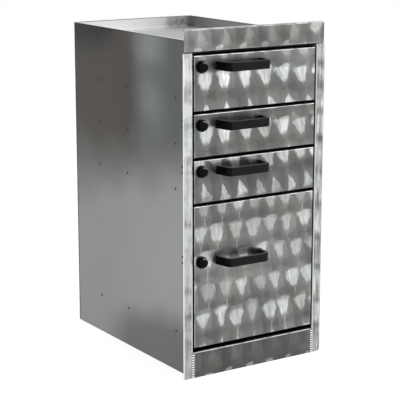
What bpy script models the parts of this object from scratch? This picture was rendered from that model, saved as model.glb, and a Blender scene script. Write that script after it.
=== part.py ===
"""An aluminium drawer cabinet, built as the real one is: a folded and welded sheet carcass with a front
frame and a recessed top, and four drawers on telescopic slides, each with a bow handle and a push lock.

Metres, +Z up. The front faces -Y. The origin lies on the floor, under the middle of the whole cabinet.
Every drawer hangs on an empty at the lower edge of its front, and the drawer slides along -Y.
"""

from math import cos, pi, sin, tan

import bmesh
import bpy
from mathutils import Matrix, Vector

# The front frame and the carcass behind it
FRAME_WIDTH = 0.400
FRAME_HEIGHT = 0.820
CABINET_DEPTH = 0.558
STILE_REACH = 0.0235
BODY_DROP = 0.0265
SHEET = 0.002
FOLD_RADIUS = 0.003
REAR_FLANGE = 0.012
STILE_CORNER_RADIUS = 0.010
TOP_RAIL_HEIGHT = 0.053
TOP_RAIL_LENGTH = 0.392
TOP_RAIL_SHIFT = 0.002
TOP_RAIL_FLANGE = 0.013
TOP_RAIL_END_RETURN = 0.006
BOTTOM_RAIL_HEIGHT = 0.0627
BOTTOM_RAIL_FLANGE = 0.015

# The recessed top and the bottom
RECESS_SHEET = 0.0015
RECESS_FRONT = 0.005
RECESS_SIDE_FLANGE = 0.012
RECESS_LIP_DROP = 0.0015
RECESS_RELIEF = 0.0085
RECESS_RELIEF_HEIGHT = 0.007
RECESS_RIVET_PITCH = 0.100
RECESS_RIVET_DROP = 0.0135
BOTTOM_FLANGE = 0.015

# Drawer fronts, from the top one down; the lowest takes the height that is left
UPPER_FRONT_HEIGHTS = (0.12825, 0.1015, 0.1015)
TOP_GAP = 0.006
DRAWER_GAP = 0.0055
BOTTOM_GAP = 0.0096
SIDE_GAP = 0.0023
FRONT_RETURN = 0.018

# Drawer trays; the top one's rim lies lower, clear of the flanges above it
TRAY_SHEET = 0.0012
TRAY_FOLD_RADIUS = 0.002
TRAY_LENGTH = 0.500
TRAY_RISE = 0.008
TRAY_DROPS = (0.021, 0.012, 0.012, 0.012)

# Telescopic slides: a fixed channel, and a runner whose hems are held behind its lips
SLIDE_LENGTH = 0.450
SLIDE_START = 0.035
SLIDE_HEIGHT = 0.035
SLIDE_DEPTH = 0.009
SLIDE_LIP = 0.0045
SLIDE_SHEET = 0.0012
SLIDE_FOLD_RADIUS = 0.0018
SLIDE_SPACE = 0.013
SLIDE_RISE = 0.0255
SLIDE_RIVET_PLACES = (0.072, 0.295, 0.435)

# Rivets
RIVET_RADIUS = 0.0017
RIVET_HEAD_RADIUS = 0.0030
RIVET_HEAD_HEIGHT = 0.0011

# Bow handle
HANDLE_INSET = 0.129
HANDLE_LENGTH = 0.131
HANDLE_REACH = 0.0445
HANDLE_HEIGHT = 0.0205
HANDLE_LEG = 0.009
HANDLE_BAR = 0.008
HANDLE_LEAN = 0.008
HANDLE_CORNER_RADIUS = 0.012
HANDLE_INNER_RADIUS = 0.004
HANDLE_EDGE = 0.0015
HANDLE_SCREW_RADIUS = 0.002
HANDLE_SCREW_REACH = 0.0045
HANDLE_SCREW_HEAD_RADIUS = 0.004
HANDLE_SCREW_HEAD_HEIGHT = 0.0025

# Push lock: ring, knob, case, bolt and strike
LATCH_INSET = 0.0235
LATCH_DROPS = (0.026, 0.026, 0.026, 0.134)
KNOB_RADIUS = 0.012
KNOB_REACH = 0.0135
KNOB_BACK = 0.0015
KNOB_EDGE_RADIUS = 0.0035
KNOB_CROWN = 0.001
KNOB_STEM_RADIUS = 0.0048
KNOB_TRAVEL = 0.0075
RING_RADIUS = 0.0145
RING_REACH = 0.0043
RING_LIP = 0.001
RING_CHAMFER = 0.001
BARREL_WALL = 0.0008
CASE_SIDE = 0.028
CASE_CHAMFER = 0.001
CASE_BACK_WALL = 0.002
BOLT_Y = 0.0425
BOLT_THICKNESS = 0.009
BOLT_HEIGHT = 0.008
STRIKE_SHEET = 0.0015
STRIKE_WIDTH = 0.017
STRIKE_HEIGHT = 0.026
STRIKE_FOLD_RADIUS = 0.002
STRIKE_RIVET_SPACING = 0.014
STRIKE_MARGIN = 0.0012

# Weld beads between the stiles and the bottom rail
BEAD_WIDTH = 0.009
BEAD_HEIGHT = 0.0014
BEAD_PITCH = 0.0058
BEAD_DIP_SHARE = 0.35
BEAD_END_MARGIN = 0.001

# Gaps between touching pieces and round running ones, the overrun of a cut, and the smallest length
SEAT_GAP = 0.0003
RUN_GAP = 0.0004
OVERRUN = 0.002
MERGE = 0.000001

# Faces round a turned piece, a rivet, a fold, a handle's corner and a rounded edge, and along a bead
TURNED_SIDES = 28
RIVET_SIDES = 10
FOLD_STEPS = 3
CORNER_STEPS = 5
EDGE_STEPS = 2
BEAD_STEPS = 4
BEAD_SIDES = 6

# Places that several pieces share
LEFT = -1
RIGHT = 1
FRAME_FACE_Y = -(CABINET_DEPTH - HANDLE_REACH) / 2
WALL_TOP = FRAME_HEIGHT - BODY_DROP
RAIL_BOTTOM = FRAME_HEIGHT - TOP_RAIL_HEIGHT
BODY_WIDTH = FRAME_WIDTH - 2 * STILE_REACH
INNER_HALF = BODY_WIDTH / 2 - SHEET
OUTER_FACE_X = BODY_WIDTH / 2 + SEAT_GAP
PANEL_HALF = INNER_HALF - SEAT_GAP
FRONT_HALF = INNER_HALF - SIDE_GAP
TRAY_HALF = INNER_HALF - SLIDE_SPACE
LATCH_X = LATCH_INSET - INNER_HALF
HANDLE_CENTRE_X = HANDLE_INSET - INNER_HALF
BACK_PANEL_Y = CABINET_DEPTH - SHEET
REAR_FLANGE_Y = BACK_PANEL_Y - SEAT_GAP - SHEET
INTERIOR_BACK_Y = REAR_FLANGE_Y - 2 * SEAT_GAP
PANEL_BACK_Y = SHEET + SEAT_GAP
RECESS_FLOOR = RAIL_BOTTOM - SEAT_GAP
BORE_RADIUS = KNOB_RADIUS + SEAT_GAP
BARREL_RADIUS = BORE_RADIUS + BARREL_WALL
BARREL_FRONT = RING_LIP + SEAT_GAP - RING_REACH
BORE_END = KNOB_TRAVEL - KNOB_BACK + RUN_GAP
STEM_TIP_Y = BOLT_Y + BOLT_THICKNESS / 2
STEM_BORE_RADIUS = KNOB_STEM_RADIUS + SEAT_GAP
CASE_BACK_Y = STEM_TIP_Y + KNOB_TRAVEL + RUN_GAP + CASE_BACK_WALL
BOLT_TIP_X = SEAT_GAP - CASE_SIDE / 2
SCREW_HEAD_Y = PANEL_BACK_Y + TRAY_SHEET + SEAT_GAP
SCREW_PLACES = ((HANDLE_LEG - HANDLE_LENGTH) / 2, (HANDLE_LENGTH - HANDLE_LEG) / 2)
STRIKE_RIVET_PLACES = (-STRIKE_RIVET_SPACING / 2, STRIKE_RIVET_SPACING / 2)

# Finishes: colour, roughness, metallic
FINISHES = {
    "brushed_aluminium": ((0.46, 0.47, 0.47), 0.34, 1.0),
    "swirled_aluminium": ((0.60, 0.60, 0.60), 0.28, 1.0),
    "weld_aluminium": ((0.66, 0.66, 0.65), 0.30, 1.0),
    "mill_aluminium": ((0.55, 0.56, 0.57), 0.40, 1.0),
    "zinc_steel": ((0.58, 0.59, 0.60), 0.35, 1.0),
    "bright_steel": ((0.70, 0.70, 0.70), 0.25, 1.0),
    "black_plastic": ((0.012, 0.012, 0.013), 0.45, 0.0),
}

# Turns that lay a rod along an axis
ROD_TURNS = {"X": Matrix.Rotation(pi / 2, 4, "Y"), "Y": Matrix.Rotation(-pi / 2, 4, "X")}


def clear_scene():
    for thing in list(bpy.data.objects):
        bpy.data.objects.remove(thing)


def make_finish(name, colour, roughness, metallic):
    finish = bpy.data.materials.new(name)
    finish.use_nodes = True
    shader = finish.node_tree.nodes["Principled BSDF"]
    shader.inputs["Base Color"].default_value = (*colour, 1)
    shader.inputs["Roughness"].default_value = roughness
    shader.inputs["Metallic"].default_value = metallic
    finish.diffuse_color = (*colour, 1)
    return finish


def add_empty(name, place, parent=None):
    empty = bpy.data.objects.new(name, None)
    bpy.context.scene.collection.objects.link(empty)
    empty.parent = parent
    empty.location = place
    return empty


def add_piece(name, shape, finish, parent, place=(0, 0, 0)):
    """Turns a bmesh into an object with a finish of its own, placed under its parent."""
    bmesh.ops.recalc_face_normals(shape, faces=shape.faces)
    mesh = bpy.data.meshes.new(name)
    shape.to_mesh(mesh)
    shape.free()
    mesh.materials.append(make_finish(name, *FINISHES[finish]))
    piece = bpy.data.objects.new(name, mesh)
    bpy.context.scene.collection.objects.link(piece)
    piece.parent = parent
    piece.location = place
    return piece


def shade_round(piece):
    piece.data.shade_smooth()
    piece.data.set_sharp_from_angle(angle=pi / 6)


def combine(piece, name, shape, operation):
    """Joins or cuts a piece with a shape that is given in the piece's own frame."""
    guide = add_piece(f"{piece.name}_{name}", shape, "mill_aluminium", piece.parent, piece.location)
    guide.hide_render = True
    guide.display_type = "WIRE"
    step = piece.modifiers.new(name, "BOOLEAN")
    step.object = guide
    step.operation = operation
    step.solver = "EXACT"


def cut(piece, name, shape):
    combine(piece, name, shape, "DIFFERENCE")


def join(piece, name, shape):
    combine(piece, name, shape, "UNION")


def add_block(shape, low, high):
    """A block between two opposite corners, in any order along each axis."""
    low, high = Vector(low), Vector(high)
    size = [abs(side) for side in high - low]
    place = Matrix.Translation((low + high) / 2) @ Matrix.Diagonal((*size, 1))
    bmesh.ops.create_cube(shape, size=1, matrix=place)


def add_rod(shape, axis, start, end, radius, sides, tip_radius=None):
    """A rod along the X or Y axis, or a cone where the tip has a radius of its own."""
    start, end = Vector(start), Vector(end)
    ends = (radius, radius if tip_radius is None else tip_radius)
    if (end - start)["XY".index(axis)] < 0:
        ends = ends[::-1]
    bmesh.ops.create_cone(
        shape,
        cap_ends=True,
        segments=sides,
        radius1=ends[0],
        radius2=ends[1],
        depth=(end - start).length,
        matrix=Matrix.Translation((start + end) / 2) @ ROD_TURNS[axis],
    )


def fold_arc(corner, before, after, radius, steps):
    """The points of an arc that rounds a corner between two unit directions."""
    cross = before.x * after.y - before.y * after.x
    turn = before.angle(after) * (1 if cross > 0 else -1)
    side = Vector((-before.y, before.x)) * (1 if cross > 0 else -1)
    start = corner - before * radius * tan(abs(turn) / 2)
    centre = start + side * radius
    arm = start - centre
    points = []
    for step in range(steps + 1):
        angle = turn * step / steps
        turned_arm = (arm.x * cos(angle) - arm.y * sin(angle), arm.x * sin(angle) + arm.y * cos(angle))
        points.append(centre + Vector(turned_arm))
    return points


def folded_outline(path, thickness, radius):
    """The outline of a folded sheet that lies on the left of a path. The radius is a fold's outer one."""
    path = [Vector(point) for point in path]
    ways = [(b - a).normalized() for a, b in zip(path, path[1:])]
    lefts = [Vector((-way.y, way.x)) for way in ways]
    near = [path[0]]
    far = [path[0] + lefts[0] * thickness]
    for corner, before, after, left, next_left in zip(path[1:], ways, ways[1:], lefts, lefts[1:]):
        mitre = (left + next_left) * thickness / (1 + left.dot(next_left))
        radii = (radius, radius - thickness)
        if left.dot(after) < 0:
            radii = radii[::-1]
        near += fold_arc(corner, before, after, radii[0], FOLD_STEPS)
        far += fold_arc(corner + mitre, before, after, radii[1], FOLD_STEPS)
    near.append(path[-1])
    far.append(path[-1] + lefts[-1] * thickness)
    return near + far[::-1]


def extruded(outline, plane, low, high):
    """A bar with its section in the XY, YZ or XZ plane, from low to high along the third axis."""
    shape = bmesh.new()
    corners = []
    for a, b in outline:
        spot = {"XY": (a, b, low), "YZ": (low, a, b), "XZ": (a, low, b)}[plane]
        corners.append(shape.verts.new(spot))
    face = shape.faces.new(corners)
    grown = bmesh.ops.extrude_face_region(shape, geom=[face])["geom"]
    way = {"XY": (0, 0, 1), "YZ": (1, 0, 0), "XZ": (0, 1, 0)}[plane]
    moved = [item for item in grown if isinstance(item, bmesh.types.BMVert)]
    bmesh.ops.translate(shape, verts=moved, vec=Vector(way) * (high - low))
    return shape


def turned(profile, closed):
    """A piece turned round the Y axis from a list of (radius, y). A closed profile makes a ring."""
    shape = bmesh.new()
    points = [shape.verts.new((radius, y, 0)) for radius, y in profile]
    edges = [shape.edges.new(pair) for pair in zip(points, points[1:])]
    if closed:
        edges.append(shape.edges.new((points[-1], points[0])))
    bmesh.ops.spin(
        shape,
        geom=points + edges,
        axis=(0, 1, 0),
        cent=(0, 0, 0),
        angle=2 * pi,
        steps=TURNED_SIDES,
        use_merge=True,
    )
    bmesh.ops.remove_doubles(shape, verts=shape.verts, dist=MERGE)
    return shape


def round_edges(shape, edges, radius, steps):
    bmesh.ops.bevel(
        shape,
        geom=edges,
        offset=radius,
        segments=steps,
        profile=1 / 2,
        affect="EDGES",
        clamp_overlap=True,
    )


def opened_box(low, high, open_way, radius):
    """A box that is open on one side, with its other edges rounded as folds."""
    shape = bmesh.new()
    add_block(shape, low, high)
    shape.normal_update()
    gone = [f for f in shape.faces if f.normal.dot(Vector(open_way)) > 1 / 2]
    folds = [e for e in shape.edges if not any(f in gone for f in e.link_faces)]
    bmesh.ops.delete(shape, geom=gone, context="FACES_ONLY")
    round_edges(shape, folds, radius, FOLD_STEPS)
    return shape


def thicken(piece, thickness):
    """Gives a folded shell its sheet thickness, inwards from the outer face."""
    wall = piece.modifiers.new("sheet", "SOLIDIFY")
    wall.thickness = thickness
    wall.offset = -1
    wall.use_even_offset = True


def drawer_spans():
    """The lower and upper edge of each drawer's front, from the top drawer down."""
    spans = []
    top = RAIL_BOTTOM - TOP_GAP
    for height in UPPER_FRONT_HEIGHTS:
        spans.append((top - height, top))
        top -= height + DRAWER_GAP
    spans.append((BOTTOM_RAIL_HEIGHT + BOTTOM_GAP, top))
    return spans


def slide_centres():
    return [bottom + SLIDE_RISE for bottom, top in drawer_spans()]


def latch_centres():
    return [top - drop for (bottom, top), drop in zip(drawer_spans(), LATCH_DROPS)]


def wall_rivets(places, side, inner_x):
    """Rivets from inside a side wall to their domed heads outside, as the shanks and the heads."""
    shanks, heads = bmesh.new(), bmesh.new()
    neck = OUTER_FACE_X + RIVET_HEAD_HEIGHT / 2
    for y, z in places:
        start, end = (side * inner_x, y, z), (side * neck, y, z)
        add_rod(shanks, "X", start, end, RIVET_RADIUS, RIVET_SIDES)
        root = (side * OUTER_FACE_X, y, z)
        tip = (side * (OUTER_FACE_X + RIVET_HEAD_HEIGHT), y, z)
        add_rod(heads, "X", root, tip, RIVET_HEAD_RADIUS, RIVET_SIDES, RIVET_RADIUS)
    return shanks, heads


def side_panel(cabinet, name, side):
    """One sheet makes the wall, the stile that its front edge is folded out to, and the rear flange."""
    path = [
        (-FRAME_WIDTH / 2, 0),
        (-INNER_HALF, 0),
        (-INNER_HALF, REAR_FLANGE_Y),
        (REAR_FLANGE - INNER_HALF, REAR_FLANGE_Y),
    ]
    outline = [(-side * x, y) for x, y in folded_outline(path, SHEET, FOLD_RADIUS)]
    shape = extruded(outline, "XY", 0, WALL_TOP)
    if side == RIGHT:
        round_stile_corner(shape)
    panel = add_piece(name, shape, "brushed_aluminium", cabinet)
    notch = bmesh.new()
    beyond = side * (FRAME_WIDTH / 2 + OVERRUN)
    inside = side * (INNER_HALF - OVERRUN)
    low = (beyond, -OVERRUN, RECESS_FLOOR)
    add_block(notch, low, (inside, TOP_RAIL_FLANGE + SEAT_GAP, WALL_TOP + OVERRUN))
    cut(panel, "rail_notch", notch)
    holes = bmesh.new()
    spots = [(y, z) for z in slide_centres() for y in SLIDE_RIVET_PLACES]
    if side == LEFT:
        spots += [(BOLT_Y, z + up) for z in latch_centres() for up in STRIKE_RIVET_PLACES]
    for y, z in spots:
        start = (side * (INNER_HALF - OVERRUN), y, z)
        end = (side * (OUTER_FACE_X + OVERRUN), y, z)
        add_rod(holes, "X", start, end, RIVET_RADIUS + SEAT_GAP, RIVET_SIDES)
    cut(panel, "rivet_holes", holes)


def round_stile_corner(shape):
    """The right stile's lower outer corner is filed round."""
    tip = FRAME_WIDTH / 2 - MERGE
    corner = [e for e in shape.edges if all(v.co.x > tip and v.co.z < MERGE for v in e.verts)]
    round_edges(shape, corner, STILE_CORNER_RADIUS, CORNER_STEPS)


def back_panel(cabinet):
    shape = bmesh.new()
    half = BODY_WIDTH / 2
    add_block(shape, (-half, BACK_PANEL_Y, 0), (half, CABINET_DEPTH, WALL_TOP))
    add_piece("back_panel", shape, "brushed_aluminium", cabinet)


def bottom_panel(cabinet):
    """A pan between the walls, its flanges turned up, that the cabinet stands on."""
    low = (-PANEL_HALF, PANEL_BACK_Y, 0)
    high = (PANEL_HALF, INTERIOR_BACK_Y, BOTTOM_FLANGE)
    shape = opened_box(low, high, (0, 0, 1), FOLD_RADIUS)
    panel = add_piece("bottom_panel", shape, "mill_aluminium", cabinet)
    thicken(panel, SHEET)


def top_rail(cabinet):
    """The frame's upper rail is a shallow pan across both stiles, with shorter returns at its ends."""
    left = TOP_RAIL_SHIFT - TOP_RAIL_LENGTH / 2
    right = TOP_RAIL_SHIFT + TOP_RAIL_LENGTH / 2
    high = (right, TOP_RAIL_FLANGE, FRAME_HEIGHT)
    shape = opened_box((left, 0, RAIL_BOTTOM), high, (0, 1, 0), FOLD_RADIUS)
    rail = add_piece("top_rail", shape, "swirled_aluminium", cabinet)
    thicken(rail, SHEET)
    trims = bmesh.new()
    for end, side in ((left, LEFT), (right, RIGHT)):
        low = (end + side * OVERRUN, TOP_RAIL_END_RETURN, RAIL_BOTTOM + FOLD_RADIUS + SEAT_GAP)
        inner = end - side * (FOLD_RADIUS + SEAT_GAP)
        high = (inner, TOP_RAIL_FLANGE + OVERRUN, FRAME_HEIGHT - FOLD_RADIUS - SEAT_GAP)
        add_block(trims, low, high)
    cut(rail, "end_trims", trims)


def bottom_rail(cabinet):
    """The frame's lower rail stands between the stiles, its upper edge folded back."""
    path = [(BOTTOM_RAIL_FLANGE, BOTTOM_RAIL_HEIGHT), (0, BOTTOM_RAIL_HEIGHT), (0, 0)]
    outline = folded_outline(path, SHEET, FOLD_RADIUS)
    shape = extruded(outline, "YZ", -PANEL_HALF, PANEL_HALF)
    add_piece("bottom_rail", shape, "swirled_aluminium", cabinet)


def top_tray(cabinet):
    """The floor of the recess in the top: folded up at the back and down beside the walls."""
    bottom = RECESS_FLOOR - RECESS_SHEET
    path = [
        (RECESS_FRONT, bottom),
        (INTERIOR_BACK_Y, bottom),
        (INTERIOR_BACK_Y, WALL_TOP - RECESS_LIP_DROP),
    ]
    outline = folded_outline(path, RECESS_SHEET, FOLD_RADIUS)
    tray = add_piece(
        "top_tray",
        extruded(outline, "YZ", -PANEL_HALF, PANEL_HALF),
        "brushed_aluminium",
        cabinet,
    )
    flanges = bmesh.new()
    reliefs = bmesh.new()
    for side in (LEFT, RIGHT):
        face = side * (PANEL_HALF - SEAT_GAP)
        low = (face, RECESS_FRONT + OVERRUN, bottom - RECESS_SIDE_FLANGE)
        high = (face - side * RECESS_SHEET, INTERIOR_BACK_Y - RECESS_RELIEF, bottom + RECESS_SHEET / 2)
        add_block(flanges, low, high)
        low = (side * (PANEL_HALF + OVERRUN), INTERIOR_BACK_Y - RECESS_RELIEF, bottom - OVERRUN)
        high = (
            side * (PANEL_HALF - RECESS_RELIEF),
            INTERIOR_BACK_Y + OVERRUN,
            RECESS_FLOOR + RECESS_RELIEF_HEIGHT,
        )
        add_block(reliefs, low, high)
    join(tray, "side_flanges", flanges)
    cut(tray, "corner_reliefs", reliefs)
    rivets = bmesh.new()
    face = INTERIOR_BACK_Y - RECESS_SHEET
    height = WALL_TOP - RECESS_RIVET_DROP
    for count in (-1, 0, 1):
        x = count * RECESS_RIVET_PITCH
        tip = (x, face - RIVET_HEAD_HEIGHT, height)
        root = (x, face + RECESS_SHEET / 2, height)
        add_rod(rivets, "Y", tip, root, RIVET_RADIUS, RIVET_SIDES, RIVET_HEAD_RADIUS)
    join(tray, "rivets", rivets)


def weld_bead(cabinet, name, side):
    """A rippled bead over the seam between a stile and the bottom rail."""
    shape = bmesh.new()
    length = BOTTOM_RAIL_HEIGHT - 2 * BEAD_END_MARGIN
    ripples = max(1, round(length / BEAD_PITCH))
    stations = ripples * BEAD_STEPS
    rows = []
    for station in range(stations + 1):
        swell = abs(sin(pi * station / BEAD_STEPS))
        share = 1 - BEAD_DIP_SHARE * (1 - swell)
        z = BEAD_END_MARGIN + length * station / stations
        row = []
        for spot in range(BEAD_SIDES + 1):
            angle = pi * spot / BEAD_SIDES
            x = side * INNER_HALF + cos(angle) * share * BEAD_WIDTH / 2
            y = -SEAT_GAP - sin(angle) * share * BEAD_HEIGHT
            row.append(shape.verts.new((x, y, z)))
        rows.append(row)
    for row, above in zip(rows, rows[1:]):
        for spot in range(BEAD_SIDES):
            shape.faces.new((row[spot], row[spot + 1], above[spot + 1], above[spot]))
        shape.faces.new((row[-1], row[0], above[0], above[-1]))
    shape.faces.new(rows[0])
    shape.faces.new(rows[-1])
    bead = add_piece(name, shape, "weld_aluminium", cabinet)
    shade_round(bead)


def slide_bar(parent, name, side, z, path):
    """One half of a slide: a folded section, given as distances from the wall, along the slide."""
    section = folded_outline(path, SLIDE_SHEET, SLIDE_FOLD_RADIUS)
    outline = [(side * (PANEL_HALF - x), up) for x, up in section]
    shape = extruded(outline, "XZ", SLIDE_START, SLIDE_START + SLIDE_LENGTH)
    return add_piece(name, shape, "zinc_steel", parent, (0, 0, z))


def slide_channel(cabinet, name, side, z):
    """The fixed half: a lipped channel, with three rivets through the wall."""
    top = SLIDE_HEIGHT / 2
    path = [
        (SLIDE_DEPTH, top - SLIDE_LIP),
        (SLIDE_DEPTH, top),
        (0, top),
        (0, -top),
        (SLIDE_DEPTH, -top),
        (SLIDE_DEPTH, SLIDE_LIP - top),
    ]
    channel = slide_bar(cabinet, name, side, z, path)
    places = [(y, 0) for y in SLIDE_RIVET_PLACES]
    shanks, heads = wall_rivets(places, side, PANEL_HALF - SLIDE_SHEET / 2)
    join(channel, "rivets", shanks)
    join(channel, "rivet_heads", heads)


def slide_runner(drawer, name, side):
    """The moving half: a plate on the tray's side, whose hemmed edges run behind the channel's lips."""
    near = SLIDE_SHEET + RUN_GAP
    hem = SLIDE_DEPTH - SLIDE_SHEET - RUN_GAP
    plate = SLIDE_SPACE - 2 * SEAT_GAP - SLIDE_SHEET
    edge = SLIDE_HEIGHT / 2 - SLIDE_SHEET - RUN_GAP
    neck = SLIDE_HEIGHT / 2 - SLIDE_LIP - RUN_GAP - SLIDE_SHEET
    path = [
        (hem, edge),
        (near, edge),
        (near, neck),
        (plate, neck),
        (plate, -neck),
        (near, -neck),
        (near, -edge),
        (hem, -edge),
    ]
    slide_bar(drawer, name, side, SLIDE_RISE, path)


def strike(cabinet, name, z):
    """An angle on the left wall, held by two rivets. The bolt shoots behind its lip."""
    front = BOLT_Y - STRIKE_WIDTH / 2
    back = BOLT_Y + STRIKE_WIDTH / 2
    lip = LATCH_X + BOLT_TIP_X - STRIKE_MARGIN
    path = [(lip, front), (-PANEL_HALF, front), (-PANEL_HALF, back)]
    outline = folded_outline(path[::-1], STRIKE_SHEET, STRIKE_FOLD_RADIUS)
    shape = extruded(outline, "XY", -STRIKE_HEIGHT / 2, STRIKE_HEIGHT / 2)
    plate = add_piece(name, shape, "zinc_steel", cabinet, (0, 0, z))
    places = [(BOLT_Y, up) for up in STRIKE_RIVET_PLACES]
    shanks, heads = wall_rivets(places, LEFT, PANEL_HALF - STRIKE_SHEET / 2)
    join(plate, "rivets", shanks)
    join(plate, "rivet_heads", heads)


def screw_holes(height):
    """Holes for the handle's screws, through the front and the tray behind it."""
    holes = bmesh.new()
    for place in SCREW_PLACES:
        x = HANDLE_CENTRE_X + place
        end = (x, SCREW_HEAD_Y + OVERRUN, height)
        add_rod(holes, "Y", (x, -OVERRUN, height), end, HANDLE_SCREW_RADIUS + SEAT_GAP, RIVET_SIDES)
    return holes


def drawer_front(drawer, name, front_height, latch_height):
    """A folded pan, flush with the frame."""
    high = (FRONT_HALF, FRONT_RETURN, front_height)
    shape = opened_box((-FRONT_HALF, 0, 0), high, (0, 1, 0), FOLD_RADIUS)
    front = add_piece(name, shape, "swirled_aluminium", drawer)
    thicken(front, SHEET)
    hole = bmesh.new()
    end = (LATCH_X, SHEET + OVERRUN, latch_height)
    add_rod(hole, "Y", (LATCH_X, -OVERRUN, latch_height), end, BARREL_RADIUS + SEAT_GAP, TURNED_SIDES)
    cut(front, "latch_hole", hole)
    cut(front, "screw_holes", screw_holes(latch_height))


def drawer_tray(drawer, name, tray_top, latch_height):
    """The open box behind the front, cut out at its left front corner round the lock's case."""
    low = (-TRAY_HALF, PANEL_BACK_Y, TRAY_RISE)
    high = (TRAY_HALF, PANEL_BACK_Y + TRAY_LENGTH, tray_top)
    shape = opened_box(low, high, (0, 0, 1), TRAY_FOLD_RADIUS)
    tray = add_piece(name, shape, "mill_aluminium", drawer)
    thicken(tray, TRAY_SHEET)
    window = bmesh.new()
    reach = CASE_SIDE / 2 + SEAT_GAP
    low = (-TRAY_HALF - OVERRUN, 0, latch_height - reach)
    add_block(window, low, (LATCH_X + reach, CASE_BACK_Y + SEAT_GAP, latch_height + reach))
    cut(tray, "latch_window", window)
    cut(tray, "screw_holes", screw_holes(latch_height))


def bow_handle(drawer, name, latch_height):
    """A moulded bow on two leaning legs, with a screw into each foot from behind the front."""
    foot = HANDLE_LENGTH / 2
    base = -SEAT_GAP
    corner = Vector((foot - HANDLE_LEAN, -HANDLE_REACH))
    outward = (corner - Vector((foot, base))).normalized()
    across = Vector((-1, 0))
    lean_share = (HANDLE_REACH - HANDLE_BAR) / HANDLE_REACH
    inner_x = foot - HANDLE_LEG - HANDLE_LEAN * lean_share
    inner_corner = Vector((inner_x, HANDLE_BAR - HANDLE_REACH))
    half = [Vector((foot, base))]
    half += fold_arc(corner, outward, across, HANDLE_CORNER_RADIUS, CORNER_STEPS)
    inside = fold_arc(inner_corner, -across, -outward, HANDLE_INNER_RADIUS, FOLD_STEPS)
    inside.append(Vector((foot - HANDLE_LEG, base)))
    outline = half + [Vector((-x, y)) for x, y in half[::-1]]
    outline += [Vector((-x, y)) for x, y in inside[::-1]] + inside
    shape = extruded(outline, "XY", -HANDLE_HEIGHT / 2, HANDLE_HEIGHT / 2)
    rims = []
    for edge in shape.edges:
        level = abs(edge.verts[0].co.z - edge.verts[1].co.z) < MERGE
        if level and any(v.co.y < base - MERGE for v in edge.verts):
            rims.append(edge)
    round_edges(shape, rims, HANDLE_EDGE, EDGE_STEPS)
    place = (HANDLE_CENTRE_X, 0, latch_height)
    handle = add_piece(name, shape, "black_plastic", drawer, place)
    shade_round(handle)
    screws, heads = bmesh.new(), bmesh.new()
    head_end = SCREW_HEAD_Y + HANDLE_SCREW_HEAD_HEIGHT
    for x in SCREW_PLACES:
        start, end = (x, -HANDLE_SCREW_REACH, 0), (x, head_end - SEAT_GAP, 0)
        add_rod(screws, "Y", start, end, HANDLE_SCREW_RADIUS, RIVET_SIDES)
        start, end = (x, SCREW_HEAD_Y, 0), (x, head_end, 0)
        add_rod(heads, "Y", start, end, HANDLE_SCREW_HEAD_RADIUS, RIVET_SIDES)
    join(handle, "screws", screws)
    join(handle, "screw_heads", heads)


def latch_ring(drawer, name, latch_height):
    """The ring on the front, which caps the barrel of the lock's case."""
    sleeve = BARREL_RADIUS + SEAT_GAP
    profile = [
        (BORE_RADIUS, -RING_REACH),
        (RING_RADIUS - RING_CHAMFER, -RING_REACH),
        (RING_RADIUS, RING_CHAMFER - RING_REACH),
        (RING_RADIUS, -SEAT_GAP),
        (sleeve, -SEAT_GAP),
        (sleeve, RING_LIP - RING_REACH),
        (BORE_RADIUS, RING_LIP - RING_REACH),
    ]
    ring = add_piece(name, turned(profile, True), "black_plastic", drawer, (LATCH_X, 0, latch_height))
    shade_round(ring)


def latch_knob(drawer, name, latch_height):
    """The button and its stem, whose end is cut at 45 degrees and drives the bolt. It slides along Y."""
    edge = KNOB_RADIUS - KNOB_EDGE_RADIUS
    shoulder = KNOB_CROWN - KNOB_REACH
    profile = [(0, -KNOB_REACH)]
    for step in range(FOLD_STEPS + 1):
        angle = pi / 2 * step / FOLD_STEPS
        radius = edge + KNOB_EDGE_RADIUS * sin(angle)
        profile.append((radius, shoulder + KNOB_EDGE_RADIUS * (1 - cos(angle))))
    profile += [
        (KNOB_RADIUS, -KNOB_BACK),
        (KNOB_STEM_RADIUS, -KNOB_BACK),
        (KNOB_STEM_RADIUS, STEM_TIP_Y),
        (0, STEM_TIP_Y),
    ]
    shape = turned(profile, False)
    halved = bmesh.ops.bisect_plane(
        shape,
        geom=shape.verts[:] + shape.edges[:] + shape.faces[:],
        plane_co=(KNOB_STEM_RADIUS, STEM_TIP_Y, 0),
        plane_no=(-1, 1, 0),
        clear_outer=True,
    )
    rim = [item for item in halved["geom_cut"] if isinstance(item, bmesh.types.BMEdge)]
    bmesh.ops.holes_fill(shape, edges=rim)
    knob = add_piece(name, shape, "black_plastic", drawer, (LATCH_X, 0, latch_height))
    shade_round(knob)


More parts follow.
